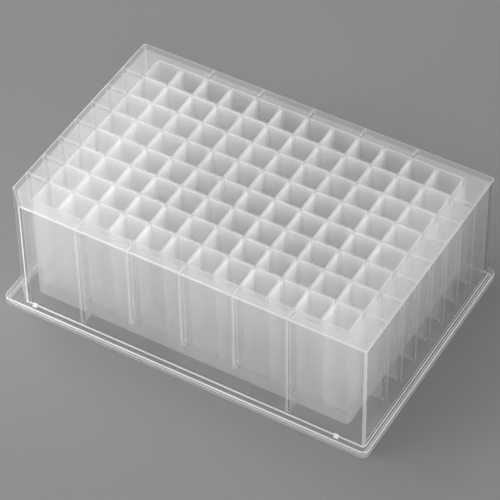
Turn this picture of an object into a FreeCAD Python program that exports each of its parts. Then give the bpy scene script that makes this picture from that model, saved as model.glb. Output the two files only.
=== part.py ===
import FreeCAD, Part
import math
import os

import Sketcher

# Square-well deep well plate, one injection moulding in natural polypropylene.
# Origin: centre of the footprint on the table. X along the twelve columns,
# Y along the eight rows, Z up. Millimetres and degrees.

NODE = "well_plate"

SIZES = {
    # overall
    "plate_length": 127.76,
    "plate_width": 85.48,
    "plate_height": 44.0,
    # base flange and skirt
    "flange_height": 2.5,
    "flange_corner": 2.4,
    "ledge_end": 1.7,
    "ledge_side": 2.15,
    "shell_wall": 1.2,
    "skirt_draft": 0.25,
    "skirt_corner": 1.0,
    "rim_round": 0.4,
    "notch_leg": 6.0,
    # well array
    "columns": 12,
    "rows": 8,
    "pitch": 9.0,
    "array_wall": 1.1,
    "array_corner": 1.6,
    "array_foot": 4.2,
    # one well
    "well_wall": 0.8,
    "well_taper": 0.2,
    "tip_side": 3.6,
    "tip_height": 3.5,
    "floor_wall": 1.0,
    # ribs between the array and the skirt
    "rib_width": 0.9,
    "fin_foot": 10.0,
    "web_foot": 12.5,
    "web_spacing": 18.0,
    # gussets on the long sides of the flange
    "gusset_width": 1.2,
    "gusset_height": 1.2,
    "gusset_inset": 10.88,
}

# Places that several features share, as expressions on the sheet.
MOUTH = "(Sizes.pitch - Sizes.well_wall)"
WAIST = f"({MOUTH} - 2 * Sizes.well_taper)"
COLUMN_SPAN = "(Sizes.columns - 1) * Sizes.pitch"
ROW_SPAN = "(Sizes.rows - 1) * Sizes.pitch"
ARRAY_X = f"({COLUMN_SPAN} + {MOUTH} + 2 * Sizes.array_wall)"
ARRAY_Y = f"({ROW_SPAN} + {MOUTH} + 2 * Sizes.array_wall)"
SKIRT_X = "(Sizes.plate_length - 2 * Sizes.ledge_end)"
SKIRT_Y = "(Sizes.plate_width - 2 * Sizes.ledge_side)"
TALL_WEB_PLACE = "2 * Sizes.web_spacing"
GUSSET_PLACE = "(Sizes.plate_length / 2 - Sizes.gusset_inset)"
WELL_FLOOR = "(Sizes.array_foot + Sizes.floor_wall)"
WELL_WAIST = f"({WELL_FLOOR} + Sizes.tip_height)"
# The grooves below the array leave an even wall round each pyramid tip. SLOPE is how
# much a groove narrows for each millimetre up, TIP_OUTER half a tip's outer side at the foot.
SLOPE = f"(({WAIST} - Sizes.tip_side) / 2 / Sizes.tip_height)"
TIP_OUTER = f"(Sizes.tip_side / 2 + Sizes.array_wall - {SLOPE} * Sizes.floor_wall)"


def make_sheet(doc):
    sheet = doc.addObject("Spreadsheet::Sheet", "Sizes")
    for row, (alias, value) in enumerate(SIZES.items(), start=1):
        sheet.set(f"A{row}", alias)
        sheet.set(f"B{row}", str(value))
        sheet.setAlias(f"B{row}", alias)
    doc.recompute()
    return sheet


def origin_part(body, role):
    return next(f for f in body.Origin.OriginFeatures if f.Role == role)


def new_sketch(body, name, plane, **offset):
    """A sketch on an origin plane, shifted by expressions for x, y or z of its own frame."""
    sketch = body.newObject("Sketcher::SketchObject", name)
    sketch.AttachmentSupport = (origin_part(body, plane), "")
    sketch.MapMode = "FlatFace"
    for axis, expression in offset.items():
        sketch.setExpression(f"AttachmentOffset.Base.{axis}", expression)
    return sketch


def dimension(sketch, kind, geometry, name, expression):
    """A named driving dimension bound to the sheet."""
    index = sketch.addConstraint(Sketcher.Constraint(kind, *geometry))
    sketch.renameConstraint(index, name)
    sketch.setExpression(f"Constraints.{name}", expression)


def closed_lines(sketch, points):
    """Straight closed outline through rough points; upright and level sides are constrained so."""
    corners = [FreeCAD.Vector(*point, 0) for point in points]
    count = len(corners)
    for k in range(count):
        sketch.addGeometry(Part.LineSegment(corners[k], corners[(k + 1) % count]), False)
    for k in range(count):
        sketch.addConstraint(Sketcher.Constraint("Coincident", k, 2, (k + 1) % count, 1))
        side = corners[(k + 1) % count] - corners[k]
        if side.y == 0:
            sketch.addConstraint(Sketcher.Constraint("Horizontal", k))
        elif side.x == 0:
            sketch.addConstraint(Sketcher.Constraint("Vertical", k))


def centred_rectangle(sketch, width, depth):
    closed_lines(sketch, [(-9, -9), (9, -9), (9, 9), (-9, 9)])
    sketch.addConstraint(Sketcher.Constraint("Symmetric", 0, 1, 2, 1, -1, 1))
    dimension(sketch, "DistanceX", (0, 1, 0, 2, 18), "width", width)
    dimension(sketch, "DistanceY", (1, 1, 1, 2, 18), "depth", depth)


def rounded_rectangle(sketch, width, depth, radius):
    """Four sides and four tangent corner arcs about the sketch origin."""
    reach, bend, up = 3.0, 0.5, FreeCAD.Vector(0, 0, 1)
    turns = [FreeCAD.Rotation(up, 90 * k) for k in range(4)]
    start, end = (FreeCAD.Vector(x, -reach, 0) for x in (bend - reach, reach - bend))
    for turn in turns:
        line = Part.LineSegment(turn.multVec(start), turn.multVec(end))
        sketch.addGeometry(line, False)
    centre = FreeCAD.Vector(reach - bend, bend - reach, 0)
    for k, turn in enumerate(turns):
        circle = Part.Circle(turn.multVec(centre), up, bend)
        arc = Part.ArcOfCircle(circle, math.radians(90 * k - 90), math.radians(90 * k))
        sketch.addGeometry(arc, False)
    for k in range(4):
        sketch.addConstraint(Sketcher.Constraint(("Horizontal", "Vertical")[k % 2], k))
        sketch.addConstraint(Sketcher.Constraint("Tangent", k, 2, 4 + k, 1))
        sketch.addConstraint(Sketcher.Constraint("Tangent", 4 + k, 2, (k + 1) % 4, 1))
    for k in range(5, 8):
        sketch.addConstraint(Sketcher.Constraint("Equal", 4, k))
    sketch.addConstraint(Sketcher.Constraint("Symmetric", 0, 1, 2, 1, -1, 1))
    dimension(sketch, "DistanceX", (3, 1, 1, 1, 2 * reach), "width", width)
    dimension(sketch, "DistanceY", (0, 1, 2, 1, 2 * reach), "depth", depth)
    dimension(sketch, "Radius", (4, bend), "corner", radius)


def new_pad(body, name, sketch, **expressions):
    pad = body.newObject("PartDesign::Pad", name)
    pad.Profile = sketch
    for size, expression in expressions.items():
        pad.setExpression(size, expression)
    return pad


def new_row(body, name, axis, count, spacing):
    """A row of copies along an origin axis, for a repeat to use."""
    row = body.newObject("PartDesign::LinearPattern", name)
    row.Direction = (origin_part(body, axis), [""])
    row.Mode = "Spacing"
    row.setExpression("Occurrences", count)
    row.setExpression("Offset", spacing)
    return row


def new_mirror(body, name, plane):
    """A reflection in an origin plane, for a repeat to use."""
    mirror = body.newObject("PartDesign::Mirrored", name)
    mirror.MirrorPlane = (origin_part(body, plane), [""])
    return mirror


def repeat(body, features, name, *steps):
    """Applies rows and mirrors in turn to features."""
    repeated = body.newObject("PartDesign::MultiTransform", name)
    repeated.Originals = features
    repeated.Transformations = list(steps)
    body.Tip = repeated


def corner_edges(feature, corners):
    """Names of the outermost tall edges in the given quadrants, each a pair of signs."""
    shape = feature.Shape
    half_height = shape.BoundBox.ZLength / 2
    tall = [k for k, edge in enumerate(shape.Edges) if edge.BoundBox.ZLength > half_height]
    names = []
    for sign_x, sign_y in corners:
        places = {k: shape.Edges[k].CenterOfMass for k in tall}
        outermost = max(tall, key=lambda k: sign_x * places[k].x + sign_y * places[k].y)
        names.append(f"Edge{outermost + 1}")
    return names


def rim_edges(feature):
    """Names of the edges round the topmost face."""
    top = max(feature.Shape.Faces, key=lambda face: face.CenterOfMass.z)
    return [
        f"Edge{number}"
        for number, edge in enumerate(feature.Shape.Edges, start=1)
        if any(edge.isSame(side) for side in top.Edges)
    ]


def make_skirt(doc, body):
    """Drafted skirt block with one cut-off corner, its base flange, shelled from below.

    The shell follows the step of the flange, which leaves the recess round the foot
    that drops over the rim of a plate below. The other three corners and the rim of
    the deck are rounded on the outside.
    """
    outline = new_sketch(body, "SkirtOutline", "XY_Plane")
    centred_rectangle(outline, SKIRT_X, SKIRT_Y)
    skirt = new_pad(body, "Skirt", outline, Length="Sizes.plate_height")
    skirt.setExpression("TaperAngle", "-Sizes.skirt_draft")
    doc.recompute()

    notch = body.newObject("PartDesign::Chamfer", "Notch")
    notch.Base = (skirt, corner_edges(skirt, [(-1, -1)]))
    notch.setExpression("Size", "Sizes.notch_leg")

    foot = new_sketch(body, "FlangeOutline", "XY_Plane")
    rounded_rectangle(foot, "Sizes.plate_length", "Sizes.plate_width", "Sizes.flange_corner")
    flange = new_pad(body, "Flange", foot, Length="Sizes.flange_height")
    doc.recompute()

    faces = flange.Shape.Faces
    underside = min(range(len(faces)), key=lambda k: faces[k].CenterOfMass.z)
    shell = body.newObject("PartDesign::Thickness", "Shell")
    shell.Base = (flange, [f"Face{underside + 1}"])
    shell.Join = "Intersection"
    shell.Reversed = True
    shell.setExpression("Value", "Sizes.shell_wall")
    doc.recompute()

    corners = body.newObject("PartDesign::Fillet", "SkirtCorners")
    corners.Base = (shell, corner_edges(shell, [(1, -1), (1, 1), (-1, 1)]))
    corners.setExpression("Radius", "Sizes.skirt_corner")
    doc.recompute()

    rim = body.newObject("PartDesign::Fillet", "Rim")
    rim.Base = (corners, rim_edges(corners))
    rim.setExpression("Radius", "Sizes.rim_round")


def make_array(body):
    """The block of wells hangs from the deck and stops short of the table."""
    outline = new_sketch(body, "ArrayOutline", "XY_Plane", z="Sizes.array_foot")
    rounded_rectangle(outline, ARRAY_X, ARRAY_Y, "Sizes.array_corner")
    new_pad(body, "Array", outline, Length="Sizes.plate_height - Sizes.array_foot")


def make_rib(body, name, plane, place, inner, outer, foot):
    """A thin plate between the array wall and the skirt wall, from its foot up into the deck."""
    sketch = new_sketch(body, f"{name}Outline", plane, z=place)
    closed_lines(sketch, [(50, 10), (60, 10), (60, 40), (50, 40)])
    dimension(sketch, "DistanceX", (-1, 1, 0, 1, 50), "inner", inner)
    dimension(sketch, "DistanceX", (-1, 1, 0, 2, 60), "outer", outer)
    dimension(sketch, "DistanceY", (-1, 1, 0, 1, 10), "foot", foot)
    top = "Sizes.plate_height - Sizes.shell_wall / 2"
    dimension(sketch, "DistanceY", (-1, 1, 2, 1, 40), "top", top)
    rib = new_pad(body, name, sketch, Length="Sizes.rib_width")
    rib.Midplane = True
    return rib


def make_ribs(body):
    """Fins at the ends in line with the well walls, webs along the sides, all into mid wall."""
    fin_reach = f"({ARRAY_X} - Sizes.array_wall) / 2", f"({SKIRT_X} - Sizes.shell_wall) / 2"
    web_reach = f"({ARRAY_Y} - Sizes.array_wall) / 2", f"({SKIRT_Y} - Sizes.shell_wall) / 2"
    first_fin = f"({ROW_SPAN} - Sizes.pitch) / 2"

    fin = make_rib(body, "Fin", "XZ_Plane", first_fin, *fin_reach, "Sizes.fin_foot")
    along = new_row(body, "FinRow", "Y_Axis", "Sizes.rows - 1", "Sizes.pitch")
    across = new_mirror(body, "FinMirror", "YZ_Plane")
    repeat(body, [fin], "Fins", along, across)

    web = make_rib(body, "Web", "YZ_Plane", "-Sizes.web_spacing", *web_reach, "Sizes.web_foot")
    along = new_row(body, "WebRow", "X_Axis", "3", "Sizes.web_spacing")
    across = new_mirror(body, "WebMirror", "XZ_Plane")
    repeat(body, [web], "Webs", along, across)

    tall = make_rib(body, "TallWeb", "YZ_Plane", f"-{TALL_WEB_PLACE}", *web_reach,
                    "Sizes.flange_height")
    along = new_row(body, "TallWebRow", "X_Axis", "2", f"2 * {TALL_WEB_PLACE}")
    across = new_mirror(body, "TallWebMirror", "XZ_Plane")
    repeat(body, [tall], "TallWebs", along, across)


def make_gussets(body):
    """Four small wedges on the flange at the ends of its long sides."""
    sketch = new_sketch(body, "GussetOutline", "YZ_Plane", z=f"-{GUSSET_PLACE}")
    closed_lines(sketch, [(39, 2), (42, 2), (39, 4)])
    top = "Sizes.flange_height + Sizes.gusset_height"
    root = "(Sizes.flange_height - Sizes.shell_wall / 2)"
    dimension(sketch, "DistanceX", (-1, 1, 0, 1, 39), "inner",
              f"({SKIRT_Y} - Sizes.shell_wall) / 2")
    dimension(sketch, "DistanceX", (-1, 1, 0, 2, 42), "outer",
              "(Sizes.plate_width - Sizes.shell_wall) / 2")
    dimension(sketch, "DistanceY", (-1, 1, 0, 1, 2), "root", root)
    dimension(sketch, "DistanceY", (-1, 1, 2, 1, 4), "top", top)
    gusset = new_pad(body, "Gusset", sketch, Length="Sizes.gusset_width")
    gusset.Midplane = True
    along = new_row(body, "GussetRow", "X_Axis", "2", f"2 * {GUSSET_PLACE}")
    across = new_mirror(body, "GussetMirror", "XZ_Plane")
    repeat(body, [gusset], "Gussets", along, across)


def make_groove(body, name, plane, place, corners, spread, length):
    """A long triangular cut standing on the array foot, between two lines of well tips.

    corners are the rough left, right and top points. A middle groove is even about its
    place and spread is half its width; one at the edge has its upright side there.
    """
    sketch = new_sketch(body, f"{name}Outline", plane, x=place, y="Sizes.array_foot")
    closed_lines(sketch, corners)
    if corners[0][0] < 0:
        sketch.addConstraint(Sketcher.Constraint("Symmetric", 0, 1, 0, 2, -1, 1))
        sketch.addConstraint(Sketcher.Constraint("PointOnObject", 2, 1, -2))
    else:
        sketch.addConstraint(Sketcher.Constraint("Coincident", 0, 1, -1, 1))
    dimension(sketch, "DistanceX", (-1, 1, 0, 2, corners[1][0]), "spread", spread)
    dimension(sketch, "DistanceY", (-1, 1, 2, 1, corners[2][1]), "rise", f"{spread} / {SLOPE}")
    groove = body.newObject("PartDesign::Pocket", name)
    groove.Profile = sketch
    groove.Midplane = True
    groove.setExpression("Length", length)
    return groove


def make_grooves(body):
    """Grooves both ways under the array, so that every well ends in a thin pyramid tip."""
    middle, edge = f"(Sizes.pitch / 2 - {TIP_OUTER})", f"({MOUTH} / 2 - {TIP_OUTER})"
    runs = [
        ("XZ_Plane", "YZ_Plane", "X_Axis", "Sizes.columns", COLUMN_SPAN, ROW_SPAN),
        ("YZ_Plane", "XZ_Plane", "Y_Axis", "Sizes.rows", ROW_SPAN, COLUMN_SPAN),
    ]
    for plane, mirror_plane, axis, count, span, other_span in runs:
        length = f"{other_span} + {MOUTH}"
        name = f"Groove{axis[0]}"
        groove = make_groove(body, name, plane, f"-({span} - Sizes.pitch) / 2",
                             [(-1, 0), (1, 0), (0, 2)], middle, length)
        repeat(body, [groove], f"{name}s",
               new_row(body, f"{name}Row", axis, f"{count} - 1", "Sizes.pitch"))
        name = f"EdgeGroove{axis[0]}"
        groove = make_groove(body, name, plane, f"-({span} + {MOUTH}) / 2",
                             [(0, 0), (2, 0), (0, 3)], edge, length)
        repeat(body, [groove], f"{name}s", new_mirror(body, f"{name}Mirror", mirror_plane))


def make_frustum(body, name, low, low_side, high, high_side):
    """A square frustum cut between two levels, standing on the first well of the array."""
    frustum = body.newObject("PartDesign::SubtractiveWedge", name)
    frustum.AttachmentSupport = (origin_part(body, "XZ_Plane"), "")
    frustum.MapMode = "FlatFace"
    frustum.setExpression("AttachmentOffset.Base.x", f"-{COLUMN_SPAN} / 2")
    frustum.setExpression("AttachmentOffset.Base.z", f"{ROW_SPAN} / 2")
    frustum.setExpression("Ymin", low)
    frustum.setExpression("Ymax", high)
    for axis in "XZ":
        frustum.setExpression(f"{axis}min", f"-{low_side} / 2")
        frustum.setExpression(f"{axis}max", f"{low_side} / 2")
        frustum.setExpression(f"{axis}2min", f"-{high_side} / 2")
        frustum.setExpression(f"{axis}2max", f"{high_side} / 2")
    return frustum


def make_wells(body):
    """A drafted square shaft and the pyramid tip below it, repeated over the array."""
    shaft = make_frustum(body, "Shaft", WELL_WAIST, WAIST, "Sizes.plate_height", MOUTH)
    tip = make_frustum(body, "Tip", WELL_FLOOR, "Sizes.tip_side", WELL_WAIST, WAIST)
    along = new_row(body, "WellColumns", "X_Axis", "Sizes.columns", "Sizes.pitch")
    across = new_row(body, "WellRows", "Y_Axis", "Sizes.rows", "Sizes.pitch")
    repeat(body, [shaft, tip], "Wells", along, across)


def make_part(doc):
    body = doc.addObject("PartDesign::Body", NODE)
    body.Label = NODE
    make_skirt(doc, body)
    make_array(body)
    make_ribs(body)
    make_gussets(body)
    make_grooves(body)
    make_wells(body)
    doc.recompute()
    return body


def check(doc):
    for item in doc.Objects:
        if "Invalid" in item.State or "Error" in item.State:
            raise RuntimeError(f"{item.Name} failed: {item.State}")


def main():
    doc = FreeCAD.newDocument("WellPlate")
    make_sheet(doc)
    body = make_part(doc)
    check(doc)
    if body.Shape.isNull() or not body.Shape.isValid():
        raise RuntimeError(f"{body.Label} has no valid shape")
    os.makedirs("parts", exist_ok=True)
    body.Shape.exportStep(f"parts/{body.Label}.step")


main()
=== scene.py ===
import math

import bpy
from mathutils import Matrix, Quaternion, Vector


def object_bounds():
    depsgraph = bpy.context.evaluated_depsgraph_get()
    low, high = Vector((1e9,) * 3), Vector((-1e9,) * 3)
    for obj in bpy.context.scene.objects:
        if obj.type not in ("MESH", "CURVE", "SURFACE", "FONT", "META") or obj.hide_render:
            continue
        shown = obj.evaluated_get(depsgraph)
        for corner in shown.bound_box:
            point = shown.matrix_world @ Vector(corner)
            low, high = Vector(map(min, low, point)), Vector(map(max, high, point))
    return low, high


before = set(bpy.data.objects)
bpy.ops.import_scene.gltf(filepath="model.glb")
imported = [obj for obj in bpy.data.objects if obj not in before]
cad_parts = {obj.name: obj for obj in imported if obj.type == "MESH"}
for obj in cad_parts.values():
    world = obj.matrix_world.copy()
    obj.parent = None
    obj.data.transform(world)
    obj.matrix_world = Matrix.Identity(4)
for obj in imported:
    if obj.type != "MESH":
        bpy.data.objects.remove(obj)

CAD_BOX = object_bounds()

PLATE = "well_plate"
MM = 0.001

# camera: angles in degrees, lens and sensor width in millimetres
AZIMUTH, ELEVATION, ROLL = 31.0, 46.0, -1.0
DISTANCE = 0.80
LENS, SENSOR_WIDTH = 188.0, 36.0
AIM = Vector((0.0, 0.0, 17.5 * MM))

# lamps: azimuth and elevation in degrees, distance and side in metres, power in watts
LAMPS = {
    "key": (-47, 10, 0.45, 0.18, 2.25),
    "top": (-93, 52, 0.31, 0.22, 0.58),
    "fill": (72, 12, 1.0, 0.3, 8.5),
}
SKY_GREY, SKY_STRENGTH = 0.75, 0.62
FLOOR_SIZE, FLOOR_GREY, FLOOR_ROUGHNESS = 8.0, 0.215, 0.9
# the even grey that camera and reflections see on the floor: its value, its largest
# share, and how far from the plate it reaches that share
EVEN_GREY, EVEN_SHARE, EVEN_FROM = 0.262, 0.65, 0.06

# half sizes in x and y, from the centre, of boxes that faces and edges are sorted by:
# the wells, the array with its outer wall, the deck within its rim, the hollow of the
# skirt, and two that leave out only the skirt's outer faces
WELLS_HALF = (53.3 * MM, 35.3 * MM)
ARRAY_HALF = (54.8 * MM, 36.8 * MM)
RIM_HALF = (60.5 * MM, 38.9 * MM)
HOLLOW_HALF = (60.9 * MM, 39.3 * MM)
CORNER_HALF = (61.35 * MM, 39.75 * MM)
SKIRT_HALF = (61.4 * MM, 39.9 * MM)
# heights: just above the flange, just below the deck, and two just below the round rim
FLANGE_TOP = 2.6 * MM
DECK_UNDER = 42.7 * MM
RIM_EDGES = 43.3 * MM
RIM_FOOT = 43.55 * MM
# the cut-off corner's upright edge on the front lies below these x and y
NOTCH_EDGE = (-56.0 * MM, -40.0 * MM)
# fins lie behind the ends and webs behind the long sides, counted from the centre, and
# all but the last webs stop at a foot above the table
PITCH, LAST_FIN = 9 * MM, 27 * MM
WEB_SPACING, LAST_WEB = 18 * MM, 36 * MM
RIB_HALF = 0.45 * MM
FIN_FOOT, WEB_FOOT = 10 * MM, 12.5 * MM
# gussets stand on the flange this far along x from the centre, within this half width
GUSSET_X, GUSSET_HALF = 53.0 * MM, 1.0 * MM

# edge rounding: bevel width, share of it on a plain edge, what the array's edges have
# less and the cut-off corner's front edge more, and the angle that makes an edge sharp
# the bevel's faces get the edge materials, which are painted highlights, so these widths also set
# how wide the painted highlight lines are
ROUNDING, ROUNDING_SEGMENTS = 0.4 * MM, 2
EDGE_SHARE, ARRAY_LESS, NOTCH_MORE = 0.5, 0.2, 0.5
SHARP_ANGLE = math.radians(28)
# before the rounding, nearer points are welded and flatter faces joined
WELD_DISTANCE = 0.001 * MM
FLAT_ANGLE = math.radians(0.5)

# what each kind of face scatters, and how much of the rest it lets through
FINISHES_AND_PAINTED_HIGHLIGHTS = {
    # the skirt lets through less than its plastic would: partly the loss at its two surfaces,
    # partly painted shade that darkens the floor seen through it under the plate
    "skirt": (0.022, 0.89),
    "flange": (0.11, 0.93),
    "rib": (0.22, 0.93),
    "array": (0.31, 0.985),
    "well": (0.33, 0.985),
    "deck": (0.22, 0.97),
    # painted highlights: the rim scatters more than the deck, so that, besides the real gloss on
    # its rounding, it shows as a bright line; the far rim, on the left and back, is painted
    # brighter still, as if lit from behind
    "rim": (0.38, 0.97),
    "far_rim_painted_highlight": (0.80, 0.97),
    # painted highlight: the skirt's rounded upright corners scatter more than the skirt, so each
    # shows as a bright line
    "corner": (0.30, 0.97),
    # painted highlights: the bevel's faces scatter far more than the faces they join, so each
    # sharp edge shows as a bright line, outside, on the ribs and among the wells
    "edge": (0.85, 0.97),
    "rib_edge_painted_highlight": (0.40, 0.97),
    "well_edge_painted_highlight": (0.42, 0.985),
}
ORDER = list(FINISHES_AND_PAINTED_HIGHLIGHTS)
# faces among the wells reflect less, because they face each other
INNER = {"array", "well", "well_edge_painted_highlight"}
# walls with ribs behind them: the half sizes beyond which the wall lies, and what the
# plastic scatters where a rib joins it
SEAMS = {"skirt": (SKIRT_HALF, 0.20), "deck": (ARRAY_HALF, 0.40)}

# the plastic itself: reflectance, refractive index and two roughnesses
WHITENESS, IOR = 0.99, 1.49
BODY_ROUGHNESS, GLOSS_ROUGHNESS = 0.35, 0.12
# share of scattered light that goes on to the far side of a wall
THROUGH = 0.5
# reflection from head on, and what a grazing view adds, outside and among the wells
GLOSS, INNER_GLOSS = (0.045, 0.8), (0.02, 0.3)
GRAZING_POWER = 5.0
# cloudiness: noise scale and detail, the noise levels that give the least and the most
# milk, and how far those lie from the middle, as a share of it
HAZE_SCALE, HAZE_DETAIL = 60.0, 1.0
HAZE_LOW, HAZE_HIGH = 0.3, 0.7
HAZE_SPREAD = 0.12


def grey(value):
    """A colour socket's value for a plain grey."""
    return value, value, value, 1


def link(tree, source, target):
    tree.links.new(source, target)


def math_node(tree, operation, first, second=None):
    """A Math node on sockets or numbers; returns its output."""
    node = tree.nodes.new("ShaderNodeMath")
    node.operation = operation
    for socket, value in zip(node.inputs, (first, second)):
        if value is None:
            continue
        if isinstance(value, (int, float)):
            socket.default_value = value
        else:
            link(tree, value, socket)
    return node.outputs[0]


def ramp(tree, value, low, high, out_low, out_high):
    """Maps low..high to out_low..out_high, clamped."""
    node = tree.nodes.new("ShaderNodeMapRange")
    link(tree, value, node.inputs["Value"])
    node.inputs["From Min"].default_value = low
    node.inputs["From Max"].default_value = high
    node.inputs["To Min"].default_value = out_low
    node.inputs["To Max"].default_value = out_high
    return node.outputs["Result"]


def cloudy(tree, place, middle):
    """A value that wanders a little about the middle one, like cloudiness in the plastic."""
    noise = tree.nodes.new("ShaderNodeTexNoise")
    noise.inputs["Scale"].default_value = HAZE_SCALE
    noise.inputs["Detail"].default_value = HAZE_DETAIL
    link(tree, place, noise.inputs["Vector"])
    least, most = (1 - HAZE_SPREAD) * middle, (1 + HAZE_SPREAD) * middle
    return ramp(tree, noise.outputs["Fac"], HAZE_LOW, HAZE_HIGH, least, most)


def mix_shaders(tree, factor, first, second):
    """The first shader at factor 0, the second at factor 1."""
    node = tree.nodes.new("ShaderNodeMixShader")
    if isinstance(factor, (int, float)):
        node.inputs["Fac"].default_value = factor
    else:
        link(tree, factor, node.inputs["Fac"])
    link(tree, first, node.inputs[1])
    link(tree, second, node.inputs[2])
    return node.outputs["Shader"]


def both(tree, comparison, values, limits):
    """1 where two values both pass the comparison, each with its own limit, else 0."""
    in_x, in_y = (math_node(tree, comparison, *pair) for pair in zip(values, limits))
    return math_node(tree, "MULTIPLY", in_x, in_y)


def outside(tree, mask):
    """The opposite of a mask of 0 and 1."""
    return math_node(tree, "SUBTRACT", 1.0, mask)


def rib_seams(tree, place, limits):
    """1 where a rib joins the back of a wall that lies beyond these half sizes, else 0."""
    axes = tree.nodes.new("ShaderNodeSeparateXYZ")
    link(tree, place, axes.inputs["Vector"])
    x, y, z = axes.outputs
    far_x, far_y = (math_node(tree, "ABSOLUTE", value) for value in (x, y))

    def row(along, spacing, far, last, across, limit):
        """1 on the lines where one row of parallel ribs meets the wall, else 0."""
        from_line = math_node(tree, "PINGPONG", along, spacing / 2)
        on_line = math_node(tree, "LESS_THAN", from_line, RIB_HALF)
        in_row = math_node(tree, "LESS_THAN", far, last + RIB_HALF)
        on_wall = math_node(tree, "GREATER_THAN", across, limit)
        return math_node(tree, "MULTIPLY", math_node(tree, "MULTIPLY", on_line, in_row), on_wall)

    fins = row(y, PITCH, far_y, LAST_FIN, far_x, limits[0])
    webs = row(x, WEB_SPACING, far_x, LAST_WEB, far_y, limits[1])
    fins = math_node(tree, "MULTIPLY", fins, math_node(tree, "GREATER_THAN", z, FIN_FOOT))
    outer_web = math_node(tree, "GREATER_THAN", far_x, LAST_WEB - RIB_HALF)
    deep = math_node(tree, "MAXIMUM", outer_web, math_node(tree, "GREATER_THAN", z, WEB_FOOT))
    return math_node(tree, "MAXIMUM", fins, math_node(tree, "MULTIPLY", webs, deep))


def polypropylene(name, scattered, clearness):
    """Natural polypropylene: clear where one thin wall is seen, milky where walls stack up."""
    material = bpy.data.materials.new("polypropylene_" + name)
    material.use_nodes = True
    tree = material.node_tree
    tree.nodes.clear()
    place = tree.nodes.new("ShaderNodeTexCoord").outputs["Object"]
    opacity = cloudy(tree, place, scattered)
    if name in SEAMS:
        limits, seam_share = SEAMS[name]
        seam = math_node(tree, "MULTIPLY", rib_seams(tree, place, limits), seam_share)
        opacity = math_node(tree, "MAXIMUM", opacity, seam)

    body = tree.nodes.new("ShaderNodeBsdfPrincipled")
    body.inputs["Base Color"].default_value = grey(WHITENESS)
    body.inputs["Roughness"].default_value = BODY_ROUGHNESS
    body.inputs["IOR"].default_value = IOR
    glow = tree.nodes.new("ShaderNodeBsdfTranslucent")
    glow.inputs["Color"].default_value = grey(WHITENESS)
    milk = mix_shaders(tree, THROUGH, body.outputs["BSDF"], glow.outputs["BSDF"])

    clear = tree.nodes.new("ShaderNodeBsdfTransparent")
    clear.inputs["Color"].default_value = grey(clearness)
    mixed = mix_shaders(tree, opacity, clear.outputs["BSDF"], milk)

    facing = tree.nodes.new("ShaderNodeLayerWeight").outputs["Facing"]
    grazing = math_node(tree, "POWER", facing, GRAZING_POWER)
    least, added = INNER_GLOSS if name in INNER else GLOSS
    mirror = math_node(tree, "ADD", math_node(tree, "MULTIPLY", grazing, added), least)
    gloss = tree.nodes.new("ShaderNodeBsdfGlossy")
    gloss.inputs["Roughness"].default_value = GLOSS_ROUGHNESS
    whole = mix_shaders(tree, mirror, mixed, gloss.outputs["BSDF"])

    out = tree.nodes.new("ShaderNodeOutputMaterial")
    link(tree, whole, out.inputs["Surface"])
    return material


def new_group(name):
    """An empty geometry node group, with its input geometry, output socket and x, y, z."""
    group = bpy.data.node_groups.new(name, "GeometryNodeTree")
    group.interface.new_socket("Geometry", in_out="INPUT", socket_type="NodeSocketGeometry")
    group.interface.new_socket("Geometry", in_out="OUTPUT", socket_type="NodeSocketGeometry")
    source = group.nodes.new("NodeGroupInput").outputs["Geometry"]
    target = group.nodes.new("NodeGroupOutput").inputs["Geometry"]
    place = group.nodes.new("GeometryNodeInputPosition").outputs["Position"]
    axes = group.nodes.new("ShaderNodeSeparateXYZ")
    link(group, place, axes.inputs["Vector"])
    return group, source, target, [axes.outputs[axis] for axis in "XYZ"]


def edge_widths():
    """Bevel weights for the sharp edges: none at the rim, which the CAD rounds itself."""
    group, source, target, (x, y, z) = new_group("edge_widths")
    reach = [math_node(group, "ABSOLUTE", value) for value in (x, y)]
    angle = group.nodes.new("GeometryNodeInputMeshEdgeAngle").outputs["Unsigned Angle"]
    sharp = math_node(group, "GREATER_THAN", angle, SHARP_ANGLE)
    low = outside(group, math_node(group, "GREATER_THAN", z, RIM_EDGES))
    off_rim = math_node(group, "MAXIMUM", low, both(group, "LESS_THAN", reach, RIM_HALF))
    kept = math_node(group, "MULTIPLY", sharp, off_rim)
    near_notch = math_node(group, "MULTIPLY", both(group, "LESS_THAN", (x, y), NOTCH_EDGE),
                           math_node(group, "GREATER_THAN", z, FLANGE_TOP))
    fine = math_node(group, "MULTIPLY", both(group, "LESS_THAN", reach, ARRAY_HALF), ARRAY_LESS)
    wide = math_node(group, "MULTIPLY", near_notch, NOTCH_MORE)
    width = math_node(group, "ADD", math_node(group, "SUBTRACT", EDGE_SHARE, fine), wide)
    store = group.nodes.new("GeometryNodeStoreNamedAttribute")
    store.data_type = "FLOAT"
    store.domain = "EDGE"
    store.inputs["Name"].default_value = "bevel_weight_edge"
    link(group, source, store.inputs["Geometry"])
    link(group, math_node(group, "MULTIPLY", kept, width), store.inputs["Value"])
    link(group, store.outputs["Geometry"], target)
    return group


def choose(group, first, rules, offset):
    """The slot of a finish, where each later rule's mask overrides the ones before."""
    slot = float(ORDER.index(first) + offset)
    for finish, mask in rules:
        step = math_node(group, "SUBTRACT", float(ORDER.index(finish) + offset), slot)
        slot = math_node(group, "ADD", slot, math_node(group, "MULTIPLY", mask, step))
    return slot


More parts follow.
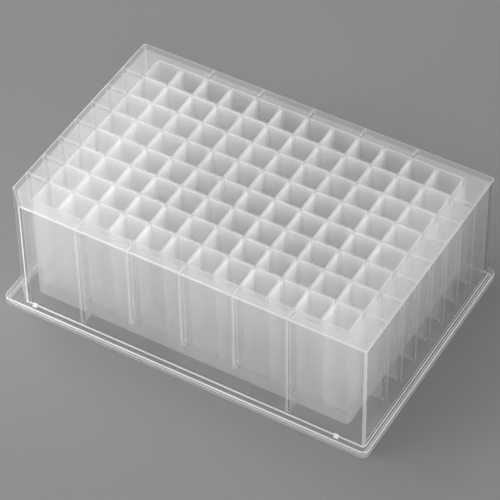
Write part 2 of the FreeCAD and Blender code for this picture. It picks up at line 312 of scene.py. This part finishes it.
def face_finishes_and_painted_highlights(offset):
    """Sorts the faces, by where their centres lie, into material slots: the plastic's kinds of
    face and the painted highlights.
    """
    group, source, target, (x, y, z) = new_group("face_finishes_and_painted_highlights")
    reach = [math_node(group, "ABSOLUTE", value) for value in (x, y)]
    hollow, array, wells = (
        both(group, "LESS_THAN", reach, half) for half in (HOLLOW_HALF, ARRAY_HALF, WELLS_HALF)
    )
    high, top, above_flange = (
        math_node(group, "GREATER_THAN", z, level) for level in (DECK_UNDER, RIM_FOOT, FLANGE_TOP)
    )
    beside = outside(group, both(group, "LESS_THAN", reach, CORNER_HALF))
    corner = both(group, "GREATER_THAN", reach, CORNER_HALF)
    far = math_node(group, "MAXIMUM", math_node(group, "LESS_THAN", x, -CORNER_HALF[0]),
                    math_node(group, "GREATER_THAN", y, CORNER_HALF[1]))
    from_gusset = math_node(group, "ABSOLUTE", math_node(group, "SUBTRACT", reach[0], GUSSET_X))
    on_gusset = math_node(group, "LESS_THAN", from_gusset, GUSSET_HALF)
    painted_glint_gussets = math_node(group, "MULTIPLY", on_gusset, beside)
    walls = choose(group, "skirt", (
        ("rib", hollow),
        ("array", array),
        ("well", wells),
        ("flange", outside(group, above_flange)),
        ("deck", high),
        # painted highlight on the skirt's rounded corners
        ("corner", math_node(group, "MULTIPLY", corner, above_flange)),
        # painted highlights on the rim, brighter on the far rim at the left and back
        ("rim", math_node(group, "MULTIPLY", beside, top)),
        ("far_rim_painted_highlight", math_node(group, "MULTIPLY", far, top)),
        # the gussets' faces get the edge material, a painted glint
        ("edge", math_node(group, "MULTIPLY", painted_glint_gussets, above_flange)),
    ), offset)
    # the bevel's faces get painted highlight lines: brightest outside, less on the ribs and among
    # the wells
    edges = choose(group, "edge", (("rib_edge_painted_highlight", hollow), ("well_edge_painted_highlight", array)), offset)
    slot = group.nodes.new("GeometryNodeInputMaterialIndex").outputs["Material Index"]
    # so far only the bevel's faces have a slot past the mesh's own
    is_edge = math_node(group, "GREATER_THAN", slot, offset - 0.5)
    kind = math_node(group, "ADD", math_node(group, "MULTIPLY", is_edge, edges),
                     math_node(group, "MULTIPLY", outside(group, is_edge), walls))
    mark = group.nodes.new("GeometryNodeSetMaterialIndex")
    link(group, source, mark.inputs["Geometry"])
    link(group, math_node(group, "ROUND", kind), mark.inputs["Material Index"])
    link(group, mark.outputs["Geometry"], target)
    return group


def dress(plate):
    """Rounds every moulded edge by a small real radius and gives each face its material: a kind of
    plastic face or a painted highlight.
    """
    # the new slots come after the mesh's own
    offset = len(plate.material_slots)
    finishes_and_painted_highlights = {name: polypropylene(name, *FINISHES_AND_PAINTED_HIGHLIGHTS[name]) for name in ORDER}
    for slot in plate.material_slots:
        slot.material = finishes_and_painted_highlights["skirt"]
    for name in ORDER:
        plate.data.materials.append(finishes_and_painted_highlights[name])
    weld = plate.modifiers.new("weld", "WELD")
    weld.merge_threshold = WELD_DISTANCE
    flat = plate.modifiers.new("flat", "DECIMATE")
    flat.decimate_type = "DISSOLVE"
    flat.angle_limit = FLAT_ANGLE
    widths = plate.modifiers.new("widths", "NODES")
    widths.node_group = edge_widths()
    rounding = plate.modifiers.new("edges", "BEVEL")
    rounding.width = ROUNDING
    rounding.segments = ROUNDING_SEGMENTS
    rounding.limit_method = "WEIGHT"
    rounding.use_clamp_overlap = False
    # the bevel's faces start on the edge material, a painted highlight line; the next modifier
    # sorts them further
    rounding.material = offset + ORDER.index("edge")
    sorting = plate.modifiers.new("finishes_and_painted_highlights", "NODES")
    sorting.node_group = face_finishes_and_painted_highlights(offset)


def floor_grey():
    """Matt grey; away from the plate, part of it is an even grey for camera and reflections."""
    material = bpy.data.materials.new("floor_grey")
    material.use_nodes = True
    tree = material.node_tree
    lit = tree.nodes["Principled BSDF"]
    lit.inputs["Base Color"].default_value = grey(FLOOR_GREY)
    lit.inputs["Roughness"].default_value = FLOOR_ROUGHNESS
    lit.inputs["Specular IOR Level"].default_value = 0.0
    even = tree.nodes.new("ShaderNodeEmission")
    even.inputs["Color"].default_value = grey(EVEN_GREY)

    # how far each point lies outside the plate's footprint
    place = tree.nodes.new("ShaderNodeTexCoord").outputs["Object"]
    axes = tree.nodes.new("ShaderNodeSeparateXYZ")
    link(tree, place, axes.inputs["Vector"])
    beyond = [
        math_node(tree, "SUBTRACT", math_node(tree, "ABSOLUTE", axes.outputs[axis]), half)
        for axis, half in zip("XY", CAD_BOX[1])
    ]
    share = ramp(tree, math_node(tree, "MAXIMUM", *beyond), 0.0, EVEN_FROM, 0.0, EVEN_SHARE)
    rays = tree.nodes.new("ShaderNodeLightPath")
    seen = math_node(tree, "MAXIMUM", rays.outputs["Is Camera Ray"], rays.outputs["Is Glossy Ray"])
    factor = math_node(tree, "MULTIPLY", seen, share)
    mixed = mix_shaders(tree, factor, lit.outputs["BSDF"], even.outputs["Emission"])
    link(tree, mixed, tree.nodes["Material Output"].inputs["Surface"])
    return material


def make_floor():
    """A plain floor that the plate stands on."""
    bpy.ops.mesh.primitive_plane_add(size=FLOOR_SIZE, location=(0, 0, 0))
    floor = bpy.context.object
    floor.name = "floor"
    floor.data.materials.append(floor_grey())


def direction(azimuth, elevation):
    """Unit vector from the object towards a viewer at these angles in degrees."""
    a, e = math.radians(azimuth), math.radians(elevation)
    return Vector((math.sin(a) * math.cos(e), -math.cos(a) * math.cos(e), math.sin(e)))


def area_light(name, azimuth, elevation, distance, size, power):
    """A square soft lamp on a sphere round the object, aimed at it."""
    data = bpy.data.lights.new(name, "AREA")
    data.shape = "SQUARE"
    data.size = size
    data.energy = power
    lamp = bpy.data.objects.new(name, data)
    bpy.context.scene.collection.objects.link(lamp)
    back = direction(azimuth, elevation)
    lamp.location = AIM + back * distance
    lamp.rotation_euler = (-back).to_track_quat("-Z", "Y").to_euler()


def make_lights():
    """The lamps, and an even grey sky."""
    for name, place_and_power in LAMPS.items():
        area_light(name, *place_and_power)
    world = bpy.data.worlds.new("studio")
    bpy.context.scene.world = world
    world.use_nodes = True
    sky = world.node_tree.nodes["Background"]
    sky.inputs["Color"].default_value = grey(SKY_GREY)
    sky.inputs["Strength"].default_value = SKY_STRENGTH


def make_camera():
    """The camera, at the photograph's viewing angle."""
    data = bpy.data.cameras.new("camera")
    data.sensor_width = SENSOR_WIDTH
    data.lens = LENS
    camera = bpy.data.objects.new("camera", data)
    bpy.context.scene.collection.objects.link(camera)
    back = direction(AZIMUTH, ELEVATION)
    camera.location = AIM + back * DISTANCE
    level = (-back).to_track_quat("-Z", "Y")
    camera.rotation_mode = "QUATERNION"
    camera.rotation_quaternion = level @ Quaternion((0, 0, 1), math.radians(ROLL))
    bpy.context.scene.camera = camera


def main():
    bpy.context.scene.view_settings.view_transform = "Standard"
    # fewer bounces keep the render short, because light passes many thin walls here
    cycles = bpy.context.scene.cycles
    cycles.max_bounces = 9
    cycles.diffuse_bounces = 7
    cycles.transparent_max_bounces = 14
    cycles.blur_glossy = 1.0
    make_camera()
    make_floor()
    make_lights()
    dress(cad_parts[PLATE])


main()
